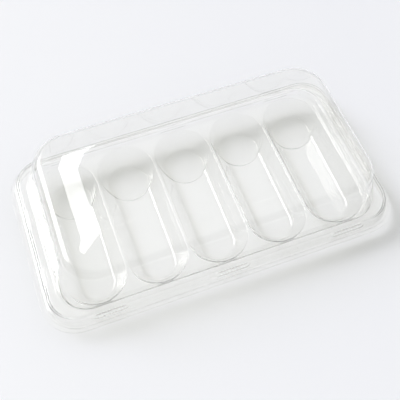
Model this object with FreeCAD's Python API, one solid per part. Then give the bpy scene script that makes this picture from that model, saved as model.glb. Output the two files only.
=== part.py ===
"""Clear egg carton: a formed base tray with five long pockets and a lift-off domed lid.

Units are millimetres and +Z is up. The origin is the middle of the pack at table level.
X runs across the five pockets and Y runs along each pocket. The wells are at the +Y end.
Each piece is one formed sheet. It is built as an outer solid less an inner solid, and the
two differ by the sheet thickness measured square to the wall.
"""
import FreeCAD
import Part
import math
import os

V = FreeCAD.Vector

# Sheet
SHEET = 0.5

# Pockets
POCKET_COUNT = 5
PITCH = 47.0
MOUTH_R = 22.3
MOUTH_Y = 38.5
FLOOR_R = 14.0
FLOOR_Y_BACK = 35.0
FLOOR_Y_FRONT = 38.5
FLOOR_FILLET = 2.5
MOUTH_FILLET = 0.8

# The pocket floor runs down to the front, so the pack stands level on wells and front ends
FLOOR_Z_BACK = 1.5
FLOOR_Z_FRONT = 0.5
FLOOR_SLOPE_FROM = 20.0
FLOOR_SLOPE_TO = -50.0

# Round wells at the back of the pockets
WELL_Y = 35.0
WELL_R = 15.9
WELL_FLARE = 0.42
WELL_FILLET = 1.5

# Heights of the sheet's upper face on the tray
LAND_Z = 14.5
FLANGE_Z = 19.6
RIM_Z = 8.7

# Half lengths, half widths and corner radii of the tray's loops
RECESS_FOOT = (118.3, 62.6, 18.3)
RECESS_TOP = (119.6, 63.9, 19.6)
FLANGE_EDGE = (128.9, 67.5, 19.5)
SKIRT_LEAN = 0.25
RIM_EDGE = (137.4, 74.4, 26.8)
RECESS_FILLET = 1.0

# Lid
SHOULDER_Z = 20.5
SHOULDER_EDGE = (130.2, 68.8, 20.8)
LID_LIP_Z = 12.5
LID_LIP_EDGE = (134.3, 72.9, 24.9)
DOME_FOOT = (122.4, 64.9, 22.6)
DOME_TOP = (114.3, 61.0, 25.0)
DOME_TOP_X = 2.7
DOME_Z = 56.2
DOME_FILLET = 5.0
EDGE_FILLET = 1.2

# Snap bosses on the lid, with studs and nubs on the tray that sit inside them
END_BOSS_X = 126.3
END_BOSS_Y = (19.5, -32.0)
END_BOSS_SIZE = (4.6, 16.0, 0.9)
SIDE_BOSS_X = (-91.0, 0.0, 91.0)
SIDE_BOSS_SIZE = (25.0, 4.4, 0.9)
SIDE_BOSS_Z = 16.4
CLEARANCE = 0.5

# Narrow ribs on the tray flange, just inside the foot of the dome
RIB_X = 120.8
RIB_Y = 27.0
RIB_SIZE = (1.4, 15.0, 0.5)


def rounded_rect(half_x, half_y, radius, z, cx=0.0):
    """Closed wire of a rectangle with round corners, its middle at cx along X."""
    a = half_x - radius
    b = half_y - radius
    k = radius * math.sqrt(0.5)
    corners = ((1, 1), (-1, 1), (-1, -1), (1, -1))
    edges = []
    last = V(cx + half_x, -b, z)
    for sx, sy in corners:
        on_side = V(cx + sx * half_x, sy * b, z)
        on_end = V(cx + sx * a, sy * half_y, z)
        first, second = (on_side, on_end) if sx == sy else (on_end, on_side)
        middle = V(cx + sx * (a + k), sy * (b + k), z)
        edges.append(Part.LineSegment(last, first).toShape())
        edges.append(Part.Arc(first, middle, second).toShape())
        last = second
    return Part.Wire(edges)


def stadium(cx, radius, y_back, y_front, z):
    """Closed wire of a slot with half-round ends, long axis along Y."""
    right_back = V(cx + radius, y_back, z)
    left_back = V(cx - radius, y_back, z)
    left_front = V(cx - radius, -y_front, z)
    right_front = V(cx + radius, -y_front, z)
    edges = [
        Part.Arc(right_back, V(cx, y_back + radius, z), left_back).toShape(),
        Part.LineSegment(left_back, left_front).toShape(),
        Part.Arc(left_front, V(cx, -y_front - radius, z), right_front).toShape(),
        Part.LineSegment(right_front, right_back).toShape(),
    ]
    return Part.Wire(edges)


def loft(lower, upper):
    """Straight-sided solid between two wires."""
    return Part.makeLoft([lower, upper], True, True)


def grown(loop, by):
    """A loop of half sizes and corner radius, grown outwards."""
    return tuple(value + by for value in loop)


def plate(loop, z_low, z_high):
    """Flat rounded-rectangle plate."""
    face = Part.Face(rounded_rect(*loop, z_low))
    return face.extrude(V(0, 0, z_high - z_low))


def lean_loft(top_loop, z_top, z_low, lean, inset=0.0):
    """Frustum that widens downwards by lean for each unit of height."""
    top = grown(top_loop, -inset)
    low = grown(top_loop, -inset + lean * (z_top - z_low))
    return loft(rounded_rect(*low, z_low), rounded_rect(*top, z_top))


def flat_edges(shape, z, accept=None):
    """Edges that lie wholly at height z and meet an optional test of the edge."""
    found = []
    for edge in shape.Edges:
        box = edge.BoundBox
        level = abs(box.ZMin - z) < 1e-4 and abs(box.ZMax - z) < 1e-4
        if level and (accept is None or accept(edge)):
            found.append(edge)
    return found


def fillet_level(shape, z, radius, accept=None):
    """Round the edges that lie at height z."""
    return shape.makeFillet(radius, flat_edges(shape, z, accept))


def floor_half_space(drop):
    """Block above the sloping plane of the pocket floors, lowered by drop."""
    run = FLOOR_SLOPE_FROM - FLOOR_SLOPE_TO
    angle = math.degrees(math.atan2(FLOOR_Z_BACK - FLOOR_Z_FRONT, run))
    block = Part.makeBox(400, 400, 60, V(-200, -200, 0))
    block.rotate(V(0, 0, 0), V(1, 0, 0), angle)
    slope = (FLOOR_Z_BACK - FLOOR_Z_FRONT) / run
    height_mid = FLOOR_Z_FRONT - FLOOR_SLOPE_TO * slope
    block.translate(V(0, 0, height_mid - drop))
    return block


def pocket(cx, grow):
    """Inside of one pocket, or its outside when grow is the sheet thickness."""
    depth = LAND_Z - FLOOR_Z_BACK
    lean = (MOUTH_R - FLOOR_R) / depth
    wall = grow * math.sqrt(1 + lean * lean)
    y_lean = (MOUTH_Y - FLOOR_Y_BACK) / depth
    low_z = -3.0
    drop = LAND_Z - low_z
    low_r = MOUTH_R + wall - lean * drop
    top = stadium(cx, MOUTH_R + wall, MOUTH_Y, MOUTH_Y, LAND_Z)
    low = stadium(cx, low_r, MOUTH_Y - y_lean * drop, FLOOR_Y_FRONT, low_z)
    solid = loft(low, top).common(floor_half_space(grow))

    def on_floor(edge):
        return edge.BoundBox.ZMax < FLOOR_Z_BACK + 1.5

    floor_edges = [edge for edge in solid.Edges if on_floor(edge)]
    return solid.makeFillet(FLOOR_FILLET + grow, floor_edges)


def well(cx, grow):
    """Inside of one well, or its outside when grow is the sheet thickness."""
    wall = grow * math.sqrt(1 + WELL_FLARE * WELL_FLARE)
    floor_z = SHEET - grow
    low_r = WELL_R + wall - WELL_FLARE * grow
    height = LAND_Z - floor_z
    cone = Part.makeCone(low_r, low_r + WELL_FLARE * height, height, V(cx, WELL_Y, floor_z))
    return fillet_level(cone, floor_z, WELL_FILLET + grow)


def pill(length, width, height, fillet):
    """Low boss with round ends along X, standing on the XY plane, its top edge rounded."""
    half = length / 2 - width / 2
    r = width / 2
    edges = [
        Part.LineSegment(V(-half, -r, 0), V(half, -r, 0)).toShape(),
        Part.Arc(V(half, -r, 0), V(half + r, 0, 0), V(half, r, 0)).toShape(),
        Part.LineSegment(V(half, r, 0), V(-half, r, 0)).toShape(),
        Part.Arc(V(-half, r, 0), V(-half - r, 0, 0), V(-half, -r, 0)).toShape(),
    ]
    solid = Part.Face(Part.Wire(edges)).extrude(V(0, 0, height))
    return fillet_level(solid, height, fillet)


def end_pill(x, y, z, size, shrink, fillet):
    """Boss on a level face at a short side, long way along Y, sunk a little into the face."""
    width, length, height = size
    solid = pill(length - 2 * shrink, width - 2 * shrink, height + 1.0, fillet)
    solid.rotate(V(0, 0, 0), V(0, 0, 1), 90)
    solid.translate(V(x, y, z - 1.0))
    return solid


def side_pill(x, side, y, size, shrink, height, fillet):
    """Boss on the leaning skirt of a long side, facing outwards."""
    length, width, _ = size
    solid = pill(length - 2 * shrink, width - 2 * shrink, height + 1.0, fillet)
    solid.translate(V(0, 0, -1.0))
    tilt = 90 - math.degrees(math.atan(SKIRT_LEAN))
    solid.rotate(V(0, 0, 0), V(1, 0, 0), tilt)
    solid.translate(V(x, -y, SIDE_BOSS_Z))
    if side > 0:
        solid.rotate(V(0, 0, 0), V(0, 0, 1), 180)
    return solid


def end_places():
    """Centres of the end bosses: the pack looks the same turned half way round."""
    for sign in (-1, 1):
        for y in END_BOSS_Y:
            yield sign * END_BOSS_X, -sign * y


def side_places():
    """Centres along X, and the side, of the bosses on the long sides."""
    for side in (-1, 1):
        for x in SIDE_BOSS_X:
            yield x, side


def skirt_half_width(edge_loop, z_edge):
    """Half width of a leaning skirt at the height of the side bosses."""
    return edge_loop[1] + SKIRT_LEAN * (z_edge - SIDE_BOSS_Z)


def make_tray():
    """The lower sheet: rim, skirt, flange, recess, pockets, wells, studs and nubs."""
    wall = SHEET * math.sqrt(1 + SKIRT_LEAN * SKIRT_LEAN)
    outer = lean_loft(FLANGE_EDGE, FLANGE_Z, RIM_Z - SHEET, SKIRT_LEAN)
    outer = fillet_level(outer, FLANGE_Z, EDGE_FILLET)
    inner_top = FLANGE_Z - SHEET
    inner_inset = wall - SKIRT_LEAN * SHEET
    inner = lean_loft(FLANGE_EDGE, inner_top, RIM_Z - 2 * SHEET, SKIRT_LEAN, inner_inset)
    inner = fillet_level(inner, inner_top, EDGE_FILLET - SHEET)
    solid = outer.fuse(plate(RIM_EDGE, RIM_Z - SHEET, RIM_Z))

    lean = (RECESS_TOP[0] - RECESS_FOOT[0]) / (FLANGE_Z - LAND_Z)
    recess_wall = SHEET * math.sqrt(1 + lean * lean)
    below = grown(RECESS_FOOT, recess_wall - lean * SHEET)
    above = grown(RECESS_TOP, recess_wall)
    outside = loft(rounded_rect(*below, LAND_Z - SHEET), rounded_rect(*above, FLANGE_Z))
    outside = fillet_level(outside, LAND_Z - SHEET, RECESS_FILLET + SHEET)
    over = grown(RECESS_TOP, lean)
    inside = loft(rounded_rect(*RECESS_FOOT, LAND_Z), rounded_rect(*over, FLANGE_Z + 1.0))
    inside = fillet_level(inside, LAND_Z, RECESS_FILLET)

    centres = [PITCH * (i - (POCKET_COUNT - 1) / 2) for i in range(POCKET_COUNT)]
    adds = [outside]
    cuts = [inside]
    for cx in centres:
        adds += [pocket(cx, SHEET), well(cx, SHEET)]
        cuts += [pocket(cx, 0.0), well(cx, 0.0)]
    solid = solid.cut(inner).fuse(adds).cut(cuts).removeSplitter()

    def on_mouth(edge):
        ends = [v.Point for v in edge.Vertexes]
        return all(abs(p.x) < RECESS_FOOT[0] - 1.5 and abs(p.y) < RECESS_FOOT[1] - 1.2 for p in ends)

    solid = fillet_level(solid, LAND_Z, MOUTH_FILLET, on_mouth)

    studs = []
    for x, y in end_places():
        studs.append(end_pill(x, y, FLANGE_Z, END_BOSS_SIZE, CLEARANCE + SHEET, 0.3))
    for x, side in side_places():
        half = skirt_half_width(FLANGE_EDGE, FLANGE_Z)
        studs.append(side_pill(x, side, half, SIDE_BOSS_SIZE, CLEARANCE + SHEET, 0.5, 0.3))
    for sx in (-1, 1):
        for sy in (-1, 1):
            studs.append(end_pill(sx * RIB_X, sy * RIB_Y, FLANGE_Z, RIB_SIZE, 0.0, 0.2))
    return solid.fuse(studs).removeSplitter()


def make_lid():
    """The upper sheet: dome, shoulder, skirt, lip and snap bosses."""
    wall = SHEET * math.sqrt(1 + SKIRT_LEAN * SKIRT_LEAN)
    low = LID_LIP_Z - SHEET
    skirt_out = lean_loft(SHOULDER_EDGE, SHOULDER_Z, low, SKIRT_LEAN)
    skirt_out = fillet_level(skirt_out, SHOULDER_Z, EDGE_FILLET)
    inset = wall - SKIRT_LEAN * SHEET
    inner_z = SHOULDER_Z - SHEET
    skirt_in = lean_loft(SHOULDER_EDGE, inner_z, low - SHEET, SKIRT_LEAN, inset)
    skirt_in = fillet_level(skirt_in, inner_z, EDGE_FILLET - SHEET)

    lean = (DOME_FOOT[1] - DOME_TOP[1]) / (DOME_Z - SHOULDER_Z)
    dome_wall = SHEET * math.sqrt(1 + lean * lean)
    foot = rounded_rect(*DOME_FOOT, SHOULDER_Z - 0.2)
    top = rounded_rect(*DOME_TOP, DOME_Z, DOME_TOP_X)
    dome_out = fillet_level(loft(foot, top), DOME_Z, DOME_FILLET)
    foot = rounded_rect(*grown(DOME_FOOT, -dome_wall), SHOULDER_Z - 0.7)
    top_loop = grown(DOME_TOP, -dome_wall + lean * SHEET)
    top = rounded_rect(*top_loop, DOME_Z - SHEET, DOME_TOP_X)
    dome_in = fillet_level(loft(foot, top), DOME_Z - SHEET, DOME_FILLET - SHEET)

    adds = [dome_out, plate(LID_LIP_EDGE, low, LID_LIP_Z)]
    cuts = [skirt_in, dome_in]
    for x, y in end_places():
        adds.append(end_pill(x, y, SHOULDER_Z, END_BOSS_SIZE, 0.0, 0.6))
        cuts.append(end_pill(x, y, SHOULDER_Z - SHEET, END_BOSS_SIZE, SHEET, 0.3))
    half = skirt_half_width(SHOULDER_EDGE, SHOULDER_Z)
    bulge = SIDE_BOSS_SIZE[2]
    for x, side in side_places():
        adds.append(side_pill(x, side, half, SIDE_BOSS_SIZE, 0.0, bulge, 0.6))
        cuts.append(side_pill(x, side, half, SIDE_BOSS_SIZE, SHEET, bulge - SHEET, 0.3))
    return skirt_out.fuse(adds).cut(cuts).removeSplitter()


def main():
    os.makedirs("parts", exist_ok=True)
    for name, shape in (("base_tray", make_tray()), ("dome_lid", make_lid())):
        box = shape.BoundBox
        print(name, "solids", len(shape.Solids), "valid", shape.isValid(),
              "volume", round(shape.Volume, 1))
        print("  x", round(box.XMin, 2), round(box.XMax, 2), "y", round(box.YMin, 2),
              round(box.YMax, 2), "z", round(box.ZMin, 2), round(box.ZMax, 2))
        shape.exportStep("parts/" + name + ".step")


main()
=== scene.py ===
import math

import bpy
import numpy as np
from mathutils import Matrix, Vector
from mathutils.geometry import delaunay_2d_cdt


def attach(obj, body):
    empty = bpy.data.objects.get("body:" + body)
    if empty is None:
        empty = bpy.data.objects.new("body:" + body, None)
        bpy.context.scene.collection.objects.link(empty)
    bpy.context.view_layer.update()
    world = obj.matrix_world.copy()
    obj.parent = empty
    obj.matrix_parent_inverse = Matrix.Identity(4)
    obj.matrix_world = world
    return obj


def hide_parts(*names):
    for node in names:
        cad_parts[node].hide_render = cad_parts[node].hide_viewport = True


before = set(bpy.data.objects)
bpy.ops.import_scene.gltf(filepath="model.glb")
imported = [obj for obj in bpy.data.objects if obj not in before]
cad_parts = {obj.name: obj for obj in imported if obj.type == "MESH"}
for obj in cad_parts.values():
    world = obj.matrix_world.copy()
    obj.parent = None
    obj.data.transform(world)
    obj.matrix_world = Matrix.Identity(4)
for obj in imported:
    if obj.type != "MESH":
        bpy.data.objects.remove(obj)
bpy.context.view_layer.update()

MM = 0.001

# ---------------------------------------------------------------- sizes, millimetres
SHEET = 0.5
PITCH = 47.0
CENTRES = [PITCH * (i - 2) for i in range(5)]
# How far the skirts lean outwards for each millimetre down
LEAN = 0.25

# Heights of the sheets' upper faces
LAND_Z = 14.5
FLANGE_Z = 19.6
RIM_Z = 8.7
SHOULDER_Z = 20.5
LIP_Z = 12.5
DOME_Z = 56.2

# Half lengths, half widths and corner radii of the tray's loops
RIM_EDGE = (137.4, 74.4, 26.8)
FLANGE_EDGE = (128.9, 67.5, 19.5)
RECESS_TOP = (119.6, 63.9, 19.6)
RECESS_FOOT = (118.3, 62.6, 18.3)
LAND_EDGE = (117.3, 61.7, 17.3)

# The same for the lid, and how far the dome's top sits towards +X of its foot
LIP_EDGE = (134.3, 72.9, 24.9)
SHOULDER_EDGE = (130.2, 68.8, 20.8)
DOME_FOOT = (122.4, 64.9, 22.6)
DOME_TOP = (114.3, 61.0, 25.0)
DOME_TOP_X = 2.7

# Pockets
MOUTH_R = 22.3
MOUTH_Y = 38.5
FLOOR_R = 14.0
FLOOR_Y_BACK = 35.0
FLOOR_Z_BACK = 1.5
FLOOR_Z_FRONT = 0.5
FLOOR_SLOPE_Y = -50.0
FLOOR_SLOPE_RUN = 70.0
WALL_LEAN = (MOUTH_R - FLOOR_R) / (LAND_Z - FLOOR_Z_BACK)
WELL_Y = 35.0
WELL_R = 15.9
WELL_FLARE = 0.42

# Heights over which a pocket's faces blend where they meet
FLOOR_BLEND = 3.0
WELL_BLEND = 2.0
WELL_EDGE_BLEND = 0.35
MOUTH_BLEND = 1.1

# Snap bosses: places, half lengths and radii
END_BOSS_X = 126.3
END_BOSS_Y = (19.5, -32.0)
END_BOSS_SIZE = (8.0, 2.3)
SIDE_BOSS_X = (-91.0, 0.0, 91.0)
SIDE_BOSS_SIZE = (12.5, 2.2)
SIDE_BOSS_Z = 16.4
SIDE_PLACES = [(x, side) for side in (-1, 1) for x in SIDE_BOSS_X]

# Narrow ribs on the tray's flange: place, half length, radius and height
RIB_X = 121.8
RIB_Y = 27.0
RIB_SIZE = (7.5, 0.8, 0.12)

# Half lengths of the straight stretches where the mesh is finer round the bosses
SHORT_HALF = 48.0
LONG_HALF = 109.4

# Radii of a pocket's rings, from the land to the floor: first, last and how many
LAND_RING = 23.0
RINGS = ((LAND_RING, 20.8, 15), (20.4, 17.2, 9), (16.9, 12.1, 19), (11.5, 1.0, 15))
# Points along a pocket's straight side, as shares of it: first, last and how many
SIDE_SPANS = ((-1.0, -0.62, 16), (-0.62, 0.2, 26), (0.2, 1.0, 46))

# ---------------------------------------------------------------- light and camera
# Soft daylight from the back left: its direction, how tight it is, and its radiance
WINDOW = ((-0.55, 0.55, 0.62), 40.0, (16.4, 16.3, 16.2))
# The pale ceiling above and behind the pack
CEILING = ((0.17, 0.48, 0.86), 6.0, (0.76, 0.76, 0.76))
ROOM_LOW = (0.42, 0.42, 0.42, 1.0)
ROOM_HIGH = (0.40, 0.41, 0.43, 1.0)

# Outlines of the window's reflections in the lid's level top, in millimetres, where the
# scene's own camera sees them. The cards that make them are placed from where it stands.
GLARE_BAND = [(-90.0, 40.0), (-95.5, 30.0), (-95.0, -30.0), (-98.5, -37.5), (-96.5, -41.5),
              (-80.5, -29.0), (-83.0, 0.0), (-82.5, 25.0), (-75.0, 37.5), (-64.0, 40.5)]
GLARE_LINES = [
    [(-82.0, -29.6), (-50.0, -29.2), (-50.0, -28.6), (-82.0, -28.8)],
    [(22.0, -45.8), (67.0, -45.4), (67.0, -44.9), (22.0, -45.2)],
]
GLARE_HEIGHT = 900.0
BAND_GLOW = 9.0
LINE_GLOW = 2.5

# Azimuth, elevation and roll of the view, in degrees
CAMERA_TURN = (-19.765, 59.58, -0.67)
# The point on the land that it looks at, and how far off it stands, in pocket pitches
CAMERA_AIM = (-0.0432, -0.1393)
CAMERA_RANGE = 10.7148
CAMERA_LENS = 59.43

# Colour of light that has passed one face of a sheet, and the olive colour of the painted shadow
# where folds and skirts hold light back
PASSING = (1.0, 1.0, 0.994, 1.0)
HELD_BACK = (0.16, 0.16, 0.0, 1.0)
PLASTIC = (0.999, 0.999, 0.997)

# Share of the light that steep faces hold back inside the tray, and on the dome's sides
TRAY_DIMMING = 0.03
DOME_DIMMING = 0.05
# The folds at the dome's foot end at this height, and the tray's recess this far from the land
FOOT_TOP_Z = 24.5
RECESS_REACH = 4.0


# ---------------------------------------------------------------- loops and profiles
def spread(half, centres, reach, fine, coarse):
    """Positions from -half to half, closer together near the centres."""
    out = [-half]
    while out[-1] < half - 1e-6:
        near = any(abs(out[-1] - c) < reach for c in centres)
        out.append(min(half, out[-1] + (fine if near else coarse)))
    return np.array(out) / half


def station_list():
    """Where each point of a rounded rectangle sits: signs of its corner, or a share of a side."""
    end_bosses = END_BOSS_Y + tuple(-y for y in END_BOSS_Y)
    short = spread(SHORT_HALF, end_bosses, 11.0, 0.8, 3.0)
    long = spread(LONG_HALF, SIDE_BOSS_X, 15.0, 0.8, 3.5)
    turn = np.linspace(0.0, 90.0, 27)[1:-1]
    rows = []
    rows += [(1, 0, 0, s) for s in short]
    rows += [(0, 1, 1, t) for t in turn]
    rows += [(2, 0, 0, -s) for s in long]
    rows += [(0, -1, 1, 90 + t) for t in turn]
    rows += [(3, 0, 0, -s) for s in short]
    rows += [(0, -1, -1, 180 + t) for t in turn]
    rows += [(4, 0, 0, s) for s in long]
    rows += [(0, 1, -1, 270 + t) for t in turn]
    return np.array(rows, float)


STATIONS = station_list()


def grown(loop, by):
    """A loop of half sizes and corner radius, grown outwards."""
    return tuple(value + by for value in loop)


def loop_points(half_x, half_y, radius, z, cx):
    """The rounded rectangle as points, one for each station."""
    kind, sx, sy, v = STATIONS.T
    a = half_x - radius
    b = half_y - radius
    t = np.radians(v)
    x = sx * a + radius * np.cos(t)
    y = sy * b + radius * np.sin(t)
    x = np.where(kind == 1, half_x, np.where(kind == 3, -half_x, x))
    y = np.where((kind == 1) | (kind == 3), v * b, y)
    y = np.where(kind == 2, half_y, np.where(kind == 4, -half_y, y))
    x = np.where((kind == 2) | (kind == 4), v * a, x)
    return np.stack([x + cx, y, np.full(len(x), z)], 1)


def bend(before, corner, after, radius, steps):
    """Points of a round of that radius at the corner of a profile, as a rational curve."""
    u = before - corner
    w = after - corner
    lu = math.hypot(u[1], u[3])
    lw = math.hypot(w[1], w[3])
    cosine = -(u[1] * w[1] + u[3] * w[3]) / (lu * lw)
    turn = math.acos(max(-1.0, min(1.0, cosine)))
    reach = radius * math.tan(turn / 2)
    first = corner + u / lu * reach
    last = corner + w / lw * reach
    weight = math.cos(turn / 2)
    t = np.linspace(0.0, 1.0, steps + 1)[:, None]
    down = (1 - t) ** 2 + 2 * weight * t * (1 - t) + t ** 2
    return ((1 - t) ** 2 * first + 2 * weight * t * (1 - t) * corner + t ** 2 * last) / down


def profile(corners, radii, spacing):
    """A chain of loops through the corners, each rounded, with points at most spacing apart."""
    corners = [np.array(c if len(c) == 5 else (*c, 0.0), float) for c in corners]
    rows = [corners[0]]
    for i in range(1, len(corners)):
        if i < len(corners) - 1 and radii[i] > 0:
            steps = max(5, int(radii[i] * 4))
            arc = bend(corners[i - 1], corners[i], corners[i + 1], radii[i], steps)
        else:
            arc = corners[i][None]
        gap = arc[0] - rows[-1]
        length = math.hypot(gap[1], gap[3])
        count = max(1, math.ceil(length / spacing))
        shares = [k / count for k in range(1, count)]
        if length > 0.6:
            shares = sorted(set([0.15 / length, 1 - 0.15 / length] + shares))
        rows += [rows[-1] + gap * s for s in shares]
        rows += list(arc)
    return rows


def quads(first, second):
    """Faces between two closed loops of vertex numbers."""
    n = len(first)
    return [(first[i], first[(i + 1) % n], second[(i + 1) % n], second[i]) for i in range(n)]


class Skin:
    """Collects points and faces, all seen from above."""

    def __init__(self):
        self.points = []
        self.faces = []
        self.count = 0

    def add(self, pts):
        ids = list(range(self.count, self.count + len(pts)))
        self.points.append(np.asarray(pts, float))
        self.count += len(pts)
        return ids

    def rings(self, loops):
        """Skins a chain of equal loops and returns the first and last."""
        ids = [self.add(p) for p in loops]
        for a, b in zip(ids, ids[1:]):
            self.faces += quads(a, b)
        return ids[0], ids[-1]


# ---------------------------------------------------------------- closed sheets
def vertex_normals(points, faces):
    """Vertex normals weighted by face area."""
    total = np.zeros_like(points)
    by_size = {}
    for f in faces:
        by_size.setdefault(len(f), []).append(f)
    for group in by_size.values():
        f = np.array(group)
        p = points[f]
        if f.shape[1] == 4:
            n = np.cross(p[:, 2] - p[:, 0], p[:, 3] - p[:, 1])
        else:
            n = np.cross(p[:, 1] - p[:, 0], p[:, 2] - p[:, 0])
        for k in range(f.shape[1]):
            np.add.at(total, f[:, k], n)
    length = np.linalg.norm(total, axis=1)
    return total / np.maximum(length, 1e-12)[:, None]


def boss(distance, height, soft):
    """Height of a boss with a rounded edge, from the distance outside its outline."""
    t = np.clip(0.5 - distance / soft, 0.0, 1.0)
    return height * t * t * (3 - 2 * t)


def pill_distance(u, v, half_length, radius):
    """Distance outside a slot shape that lies along u."""
    over = np.maximum(np.abs(u) - (half_length - radius), 0.0)
    return np.hypot(over, v) - radius


def rounded_distance(points, half_x, half_y, radius):
    """Distance outside a rounded rectangle, seen from above."""
    over_x = np.abs(points[:, 0]) - (half_x - radius)
    over_y = np.abs(points[:, 1]) - (half_y - radius)
    outside = np.hypot(np.maximum(over_x, 0.0), np.maximum(over_y, 0.0))
    return outside + np.minimum(np.maximum(over_x, over_y), 0.0) - radius


def skirt_painted_shadow(points):
    """Painted shadow strength of the skirts: the light they hold back, most at the front right
    corner where it leaves the pack, so the cast shadow is darkest there.
    """
    toward = (points[:, 0] / 137.0 - points[:, 1] / 74.0) / 2.0
    return 0.03 + 0.75 * np.clip(toward, 0.0, 1.0) ** 3


def foot_painted_shadow(points):
    """Painted shadow strength of the folds at the recess and the dome's foot: the light they hold
    back, most along the back, for the dark strip behind the wells.
    """
    return 0.1 + 0.85 * np.clip(points[:, 1] / 60.0, 0.0, 1.0) ** 2


def end_places(x):
    """Centres of the bosses on the short sides, which match when the pack is turned round."""
    return [(side * x, -side * y) for side in (-1, 1) for y in END_BOSS_Y]


def raise_bosses(points, normals, ends, shrink, end_height, side_height, ribs=()):
    """Lifts the pill-shaped bosses out of the level and leaning faces."""
    x, y, z = points.T
    lift = np.zeros(len(points))
    level = np.clip((normals[:, 2] - 0.55) / 0.4, 0.0, 1.0)
    half, radius = (size - shrink for size in END_BOSS_SIZE)
    for cx, cy in ends:
        d = pill_distance(y - cy, x - cx, half, radius)
        # This edge bends more gently than a radius of the sheet's own thickness
        lift += level * boss(d, end_height, math.sqrt(3.4 * end_height))
    for cx, cy in ribs:
        d = pill_distance(y - cy, x - cx, *RIB_SIZE[:2])
        lift += level * boss(d, RIB_SIZE[2], 1.2)
    half, radius = (size - shrink for size in SIDE_BOSS_SIZE)
    for cx, side in SIDE_PLACES:
        facing = (normals[:, 1] * side > 0.8) & (np.abs(normals[:, 2]) < 0.6)
        d = pill_distance(x - cx, (z - SIDE_BOSS_Z) * 1.03, half, radius)
        lift += np.where(facing, boss(d, side_height, side_height + 0.8), 0.0)
    return points + normals * lift[:, None]


def closed_sheet(name, skin, edge, shape, dimming):
    """Makes a closed sheet: the skin, a copy one thickness below it, and the cut edge."""
    points = np.concatenate(skin.points)
    points = shape(points, vertex_normals(points, skin.faces))
    normals = vertex_normals(points, skin.faces)
    under = points - normals * SHEET
    n = len(points)
    low = [tuple(i + n for i in reversed(f)) for f in skin.faces]
    rim = [(b, a, a + n, b + n) for a, b in zip(edge, edge[1:] + edge[:1])]
    mesh = bpy.data.meshes.new(name)
    mesh.from_pydata((np.concatenate([points, under]) * MM).tolist(), [], skin.faces + low + rim)
    mesh.validate()
    mesh.polygons.foreach_set("use_smooth", [True] * len(mesh.polygons))

    # Only steep faces hold back light: a stand-in for the light that folds bend away, with
    # painted shadow strength set by place on the pack. The material reads the amount at each
    # point
    steep = np.clip((0.9 - np.abs(normals[:, 2])) / 0.5, 0.0, 1.0)
    held = steep * steep * (3 - 2 * steep) * dimming(points)
    values = mesh.attributes.new("dimming", "FLOAT", "POINT")
    values.data.foreach_set("value", np.concatenate([held, held]))
    mesh.update()
    obj = bpy.data.objects.new(name, mesh)
    bpy.context.scene.collection.objects.link(obj)
    return obj


# ---------------------------------------------------------------- tray
def smooth_max(a, b, k):
    """The larger of two heights, rounded where they meet over a height of k."""
    h = np.maximum(1 - np.abs(a - b) / k, 0.0)
    return np.maximum(a, b) + k * 0.25 * h * h


def smooth_min(a, b, k):
    """The smaller of two heights, rounded in the same way."""
    return -smooth_max(-a, -b, k)


def pocket_height(x, y, r):
    """Height of the sheet inside a pocket. x is from its middle and r is its ring's radius."""
    wall = FLOOR_Z_BACK + (r - FLOOR_R) / WALL_LEAN
    fall = FLOOR_Z_BACK - FLOOR_Z_FRONT
    floor = FLOOR_Z_FRONT + fall * (y - FLOOR_SLOPE_Y) / FLOOR_SLOPE_RUN
    dish = smooth_max(wall, floor, FLOOR_BLEND)
    cone = SHEET + (np.hypot(x, y - WELL_Y) - WELL_R) / WELL_FLARE
    well = smooth_max(cone, SHEET + 0 * x, WELL_BLEND)
    inside = smooth_min(dish, well, WELL_EDGE_BLEND)
    return smooth_min(inside, LAND_Z + 0 * x, MOUTH_BLEND)


def pocket_loops(cx):
    """Rings from the land down the walls and across the floor of one pocket."""
    radii = [r for first, last, count in RINGS for r in np.linspace(first, last, count)]
    y_side = np.concatenate([np.linspace(*span)[:-1] for span in SIDE_SPANS] + [[1.0]])
    arc = np.radians(np.linspace(0.0, 180.0, 73))[1:-1]
    loops = []
    for r in radii + [0.0]:
        share = min(1.05, max(0.0, (r - FLOOR_R) / (MOUTH_R - FLOOR_R)))
        back = FLOOR_Y_BACK + (MOUTH_Y - FLOOR_Y_BACK) * share
        side_y = (back - MOUTH_Y) / 2 + (back + MOUTH_Y) / 2 * y_side
        side_x = np.full(len(side_y), r)
        x = np.concatenate([side_x, r * np.cos(arc), -side_x, -r * np.cos(arc)])
        y = np.concatenate([side_y, back + r * np.sin(arc),
                            side_y[::-1], -MOUTH_Y - r * np.sin(arc)])
        z = pocket_height(x, y, np.full(len(x), r))
        loops.append(np.stack([cx + x, y, z], 1))
    return loops


def on_land(c):
    """True where the level land lies: inside its edge and outside every pocket."""
    half_x, half_y, radius = LAND_EDGE
    over_x = max(abs(c.x) - (half_x - radius), 0.0)
    over_y = max(abs(c.y) - (half_y - radius), 0.0)
    if math.hypot(over_x, over_y) > radius:
        return False
    # A shade less than the pocket's first ring, so that a face beside it isn't taken out
    clear = LAND_RING - 0.06
    past_y = max(abs(c.y) - MOUTH_Y, 0.0)
    return not any(math.hypot(c.x - cx, past_y) < clear and abs(c.x - cx) < clear
                   for cx in CENTRES)


def fill_land(skin, outlines, ids):
    """Joins the land's edge to the pockets' first rings with level faces."""
    lines = []
    offset = 0
    for pts in outlines:
        n = len(pts)
        lines += [(offset + i, offset + (i + 1) % n) for i in range(n)]
        offset += n
    flat = [Vector(p) for p in np.concatenate(outlines)]
    made = delaunay_2d_cdt(flat, lines, [], 0, 1e-6)
    verts, faces, origin = made[0], made[2], made[3]
    kept = [ids[o[0]] for o in origin]
    for f in faces:
        if on_land(sum((verts[i] for i in f), Vector((0, 0))) / len(f)):
            skin.faces.append(tuple(kept[i] for i in f))


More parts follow.
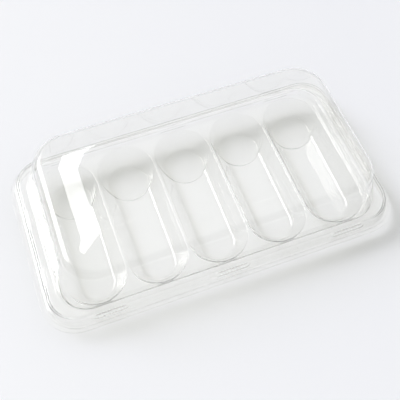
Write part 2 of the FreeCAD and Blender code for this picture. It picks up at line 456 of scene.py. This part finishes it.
def make_tray():
    """The lower sheet, finer and smoother than the CAD mesh."""
    corners = [
        (*RIM_EDGE, RIM_Z),
        (*grown(FLANGE_EDGE, LEAN * (FLANGE_Z - RIM_Z)), RIM_Z),
        (*FLANGE_EDGE, FLANGE_Z),
        (*grown(FLANGE_EDGE, -1.6), FLANGE_Z),
        (*grown(RECESS_TOP, 1.4), FLANGE_Z),
        (*RECESS_TOP, FLANGE_Z),
        (*RECESS_FOOT, LAND_Z),
        (*LAND_EDGE, LAND_Z),
    ]
    rounds = [0, 0.8, 1.2, 0, 0, 0.8, 0.8, 0]
    skin = Skin()
    edge, inner = skin.rings([loop_points(*row) for row in profile(corners, rounds, 0.6)])

    outlines = [skin.points[-1][:, :2]]
    ids = list(inner)
    for cx in CENTRES:
        loops = pocket_loops(cx)
        loops[0][:, 2] = LAND_Z
        first, last = skin.rings(loops[:-1])
        skin.faces += quads(last, skin.add(loops[-1]))
        outlines.append(loops[0][:, :2])
        ids += first
    fill_land(skin, outlines, ids)

    ends = end_places(END_BOSS_X - 0.5)
    ribs = [(sx * RIB_X, sy * RIB_Y) for sx in (-1, 1) for sy in (-1, 1)]

    def shape(points, normals):
        return raise_bosses(points, normals, ends, 1.3, 0.25, 0.5, ribs)

    def dimming(points):
        out = rounded_distance(points, *LAND_EDGE)
        outer = np.where(out < RECESS_REACH, foot_painted_shadow(points), skirt_painted_shadow(points))
        return np.where(out < 0.0, TRAY_DIMMING, outer)

    return closed_sheet("tray_sheet", skin, edge, shape, dimming)


# ---------------------------------------------------------------- lid
def make_lid():
    """The upper sheet, finer and smoother than the CAD mesh."""
    corners = [
        (*LIP_EDGE, LIP_Z),
        (*grown(SHOULDER_EDGE, LEAN * (SHOULDER_Z - LIP_Z)), LIP_Z),
        (*SHOULDER_EDGE, SHOULDER_Z),
        (*grown(SHOULDER_EDGE, -1.6), SHOULDER_Z),
        (*grown(DOME_FOOT, 1.6), SHOULDER_Z),
        (*DOME_FOOT, SHOULDER_Z),
        (*DOME_TOP, DOME_Z, DOME_TOP_X),
        (*grown(DOME_TOP, -7.0), DOME_Z, DOME_TOP_X),
    ]
    rounds = [0, 0.8, 1.2, 0, 0, 1.2, 6.5, 0]
    skin = Skin()
    loops = [loop_points(*row) for row in profile(corners, rounds, 0.9)]

    # The level top closes in on a spine along its middle
    top = loops[-1]
    spine = np.stack([np.clip(top[:, 0], -50.0, 55.0), 0 * top[:, 1], top[:, 2]], 1)
    loops += [top + (spine - top) * s for s in np.linspace(0.0, 1.0, 34)[1:]]
    edge, _ = skin.rings(loops)

    def shape(points, normals):
        return raise_bosses(points, normals, end_places(END_BOSS_X), 0.0, 0.6, 0.9)

    def dimming(points):
        out = rounded_distance(points, *grown(DOME_FOOT, 1.0))
        dome = np.where(points[:, 2] < FOOT_TOP_Z, foot_painted_shadow(points), DOME_DIMMING)
        return np.where(out > 0.0, skirt_painted_shadow(points), dome)

    return closed_sheet("lid_sheet_skin", skin, edge, shape, dimming)


# ---------------------------------------------------------------- materials
def new_nodes(tree):
    """Empties a node tree and returns a maker of nodes, and its linker."""
    tree.nodes.clear()

    def make(kind, inputs=(), **settings):
        node = tree.nodes.new(kind)
        for key, value in settings.items():
            setattr(node, key, value)
        for key, value in dict(inputs).items():
            node.inputs[key].default_value = value
        return node

    return make, tree.links.new


def new_material(name):
    mat = bpy.data.materials.new(name)
    mat.use_nodes = True
    return mat


def clear_plastic(name, seed):
    """Clear formed sheet: glass to the eye, and a faint tint to the light that passes through."""
    mat = new_material(name)
    make, link = new_nodes(mat.node_tree)
    out = make("ShaderNodeOutputMaterial")
    coord = make("ShaderNodeTexCoord")
    place = make("ShaderNodeMapping", {"Location": (seed, seed * 0.37, 0.0)})
    link(coord.outputs["Object"], place.inputs["Vector"])

    # Slow unevenness of the formed sheet, and fine scuffs that blur its gloss a little
    flow = make("ShaderNodeTexNoise", {"Scale": 22.0, "Detail": 2.0})
    link(place.outputs["Vector"], flow.inputs["Vector"])
    scuff = make("ShaderNodeTexNoise", {"Scale": 900.0, "Detail": 4.0})
    link(place.outputs["Vector"], scuff.inputs["Vector"])
    rough = make("ShaderNodeMapRange",
                 {"From Min": 0.45, "From Max": 0.75, "To Min": 0.0, "To Max": 0.035})
    link(scuff.outputs["Fac"], rough.inputs["Value"])
    wave = make("ShaderNodeBump", {"Strength": 0.1, "Distance": 0.0004})
    link(flow.outputs["Fac"], wave.inputs["Height"])
    thicker = (PLASTIC[0] * 0.998, PLASTIC[1] * 0.998, PLASTIC[2] * 0.996, 1.0)
    tone = make("ShaderNodeMix", {"A": (*PLASTIC, 1.0), "B": thicker}, data_type="RGBA")
    link(flow.outputs["Fac"], tone.inputs["Factor"])
    glass = make("ShaderNodeBsdfGlass", {"IOR": 1.5})
    link(tone.outputs["Result"], glass.inputs["Color"])
    link(rough.outputs["Result"], glass.inputs["Roughness"])
    link(wave.outputs["Normal"], glass.inputs["Normal"])

    # Light on its way to the table passes straight through, less at grazing faces, and less at
    # folds by the painted shadow strength stored on the sheet
    weight = make("ShaderNodeLayerWeight", {"Blend": 0.5})
    grazing = make("ShaderNodeMath", {1: 6.0}, operation="POWER")
    link(weight.outputs["Facing"], grazing.inputs[0])
    stored = make("ShaderNodeAttribute", attribute_name="dimming")
    dimmed = make("ShaderNodeMath", operation="MAXIMUM")
    link(grazing.outputs["Value"], dimmed.inputs[0])
    link(stored.outputs["Fac"], dimmed.inputs[1])
    passing = make("ShaderNodeMix", {"A": PASSING, "B": HELD_BACK}, data_type="RGBA")
    link(dimmed.outputs["Value"], passing.inputs["Factor"])
    clear = make("ShaderNodeBsdfTransparent")
    link(passing.outputs["Result"], clear.inputs["Color"])

    path = make("ShaderNodeLightPath")
    either = make("ShaderNodeMath", operation="MAXIMUM")
    link(path.outputs["Is Shadow Ray"], either.inputs[0])
    link(path.outputs["Is Diffuse Ray"], either.inputs[1])
    mix = make("ShaderNodeMixShader")
    link(either.outputs["Value"], mix.inputs["Fac"])
    link(glass.outputs["BSDF"], mix.inputs[1])
    link(clear.outputs["BSDF"], mix.inputs[2])
    link(mix.outputs["Shader"], out.inputs["Surface"])
    return mat


def floor_material():
    """Matt white table top with a very faint mottle, and painted shade: a little darker towards
    the right, where the window's light falls off.
    """
    mat = new_material("table_white")
    make, link = new_nodes(mat.node_tree)
    out = make("ShaderNodeOutputMaterial")
    bsdf = make("ShaderNodeBsdfPrincipled", {"Roughness": 0.9, "Specular IOR Level": 0.1})
    link(bsdf.outputs["BSDF"], out.inputs["Surface"])
    coord = make("ShaderNodeTexCoord")
    noise = make("ShaderNodeTexNoise", {"Scale": 3.0})
    link(coord.outputs["Object"], noise.inputs["Vector"])
    split = make("ShaderNodeSeparateXYZ")
    link(coord.outputs["Object"], split.inputs["Vector"])
    # Painted shade: the table top darkens from left to right; a quarter of the mix is the mottle
    across = make("ShaderNodeMapRange", {"From Min": -0.2, "From Max": 0.2})
    link(split.outputs["X"], across.inputs["Value"])
    share = make("ShaderNodeMix", {"Factor": 0.25})
    link(across.outputs["Result"], share.inputs["A"])
    link(noise.outputs["Fac"], share.inputs["B"])
    # The lit left end and the painted-shade right end of the table top
    pale = {"A": (0.885, 0.89, 0.905, 1.0), "B": (0.815, 0.82, 0.85, 1.0)}
    tone = make("ShaderNodeMix", pale, data_type="RGBA")
    link(share.outputs["Result"], tone.inputs["Factor"])
    link(tone.outputs["Result"], bsdf.inputs["Base Color"])
    return mat


# ---------------------------------------------------------------- light
def make_world():
    """An even room with a soft bright window and a pale ceiling."""
    world = bpy.data.worlds.new("room")
    bpy.context.scene.world = world
    world.use_nodes = True
    make, link = new_nodes(world.node_tree)
    out = make("ShaderNodeOutputWorld")
    back = make("ShaderNodeBackground")
    coord = make("ShaderNodeTexCoord")
    split = make("ShaderNodeSeparateXYZ")
    link(coord.outputs["Generated"], split.inputs["Vector"])
    up = make("ShaderNodeClamp")
    link(split.outputs["Z"], up.inputs["Value"])
    rise = make("ShaderNodeMath", {1: 1.5}, operation="POWER")
    link(up.outputs["Result"], rise.inputs[0])
    tone = make("ShaderNodeMix", {"A": ROOM_LOW, "B": ROOM_HIGH}, data_type="RGBA")
    link(rise.outputs["Value"], tone.inputs["Factor"])

    total = tone.outputs["Result"]
    for centre, tight, radiance in (WINDOW, CEILING):
        toward = make("ShaderNodeVectorMath", {1: Vector(centre).normalized()},
                      operation="DOT_PRODUCT")
        link(coord.outputs["Generated"], toward.inputs[0])
        ahead = make("ShaderNodeClamp")
        link(toward.outputs["Value"], ahead.inputs["Value"])
        lobe = make("ShaderNodeMath", {1: tight}, operation="POWER")
        link(ahead.outputs["Result"], lobe.inputs[0])
        glow = make("ShaderNodeVectorMath", operation="SCALE")
        glow.inputs[0].default_value = radiance
        link(lobe.outputs["Value"], glow.inputs["Scale"])
        add = make("ShaderNodeVectorMath", operation="ADD")
        link(total, add.inputs[0])
        link(glow.outputs["Vector"], add.inputs[1])
        total = add.outputs["Vector"]
    link(total, back.inputs["Color"])
    link(back.outputs["Background"], out.inputs["Surface"])


def glare_material(glow):
    """Plain light of one strength."""
    mat = new_material("glare")
    make, link = new_nodes(mat.node_tree)
    out = make("ShaderNodeOutputMaterial")
    emit = make("ShaderNodeEmission", {"Strength": glow})
    link(emit.outputs["Emission"], out.inputs["Surface"])
    return mat


def make_glare(name, outline, glow, eye):
    """A bright card for glossy rays only, placed so the camera sees it in the lid's top."""
    reach = (GLARE_HEIGHT + eye.z - 2 * DOME_Z) / (eye.z - DOME_Z)
    points = [((eye.x + (x - eye.x) * reach) * MM, (eye.y + (y - eye.y) * reach) * MM,
               GLARE_HEIGHT * MM) for x, y in outline]
    mesh = bpy.data.meshes.new(name)
    mesh.from_pydata(points, [], [tuple(range(len(points)))])
    mesh.update()
    obj = bpy.data.objects.new(name, mesh)
    bpy.context.scene.collection.objects.link(obj)
    mesh.materials.append(glare_material(glow))
    obj.visible_camera = False
    obj.visible_diffuse = False
    obj.visible_transmission = False
    obj.visible_shadow = False


def make_camera():
    """Looks down on the pack from the front left. Returns where it stands, in millimetres."""
    azimuth, elevation, roll = (math.radians(angle) for angle in CAMERA_TURN)
    back = Vector((math.sin(azimuth) * math.cos(elevation),
                   -math.cos(azimuth) * math.cos(elevation), math.sin(elevation)))
    aim = Vector((*CAMERA_AIM, 0.0)) * PITCH * MM + Vector((0, 0, LAND_Z * MM))
    right = (-back).cross(Vector((0, 0, 1))).normalized()
    up = right.cross(-back)
    across = math.cos(roll) * right + math.sin(roll) * up
    upward = -math.sin(roll) * right + math.cos(roll) * up
    data = bpy.data.cameras.new("camera")
    data.sensor_width = 36.0
    data.lens = CAMERA_LENS
    data.dof.use_dof = False
    data.clip_start = 0.01
    data.clip_end = 20.0
    cam = bpy.data.objects.new("camera", data)
    bpy.context.scene.collection.objects.link(cam)
    turn = Matrix((across, upward, back)).transposed()
    place = aim + back * CAMERA_RANGE * PITCH * MM
    cam.matrix_world = Matrix.Translation(place) @ turn.to_4x4()
    bpy.context.scene.camera = cam
    return cam.matrix_world.translation / MM


def make_stage():
    """The table, the light and the camera."""
    bpy.ops.mesh.primitive_plane_add(size=6.0, location=(0, 0, 0))
    table = bpy.context.object
    table.name = "table"
    table.data.materials.append(floor_material())

    make_world()
    eye = make_camera()
    make_glare("glare_band", GLARE_BAND, BAND_GLOW, eye)
    for i, outline in enumerate(GLARE_LINES):
        make_glare("glare_line_%d" % i, outline, LINE_GLOW, eye)


def main():
    tray = make_tray()
    tray.data.materials.append(clear_plastic("tray_clear", 1.3))
    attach(tray, "tray")
    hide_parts("base_tray")

    lid = make_lid()
    lid.data.materials.append(clear_plastic("lid_clear", 7.9))
    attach(lid, "lid")
    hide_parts("dome_lid")

    make_stage()

    scene = bpy.context.scene
    scene.view_settings.view_transform = "Standard"
    scene.cycles.max_bounces = 24
    scene.cycles.transmission_bounces = 20
    scene.cycles.transparent_max_bounces = 32
    scene.cycles.glossy_bounces = 8
    scene.cycles.caustics_refractive = False
    scene.cycles.caustics_reflective = False


main()
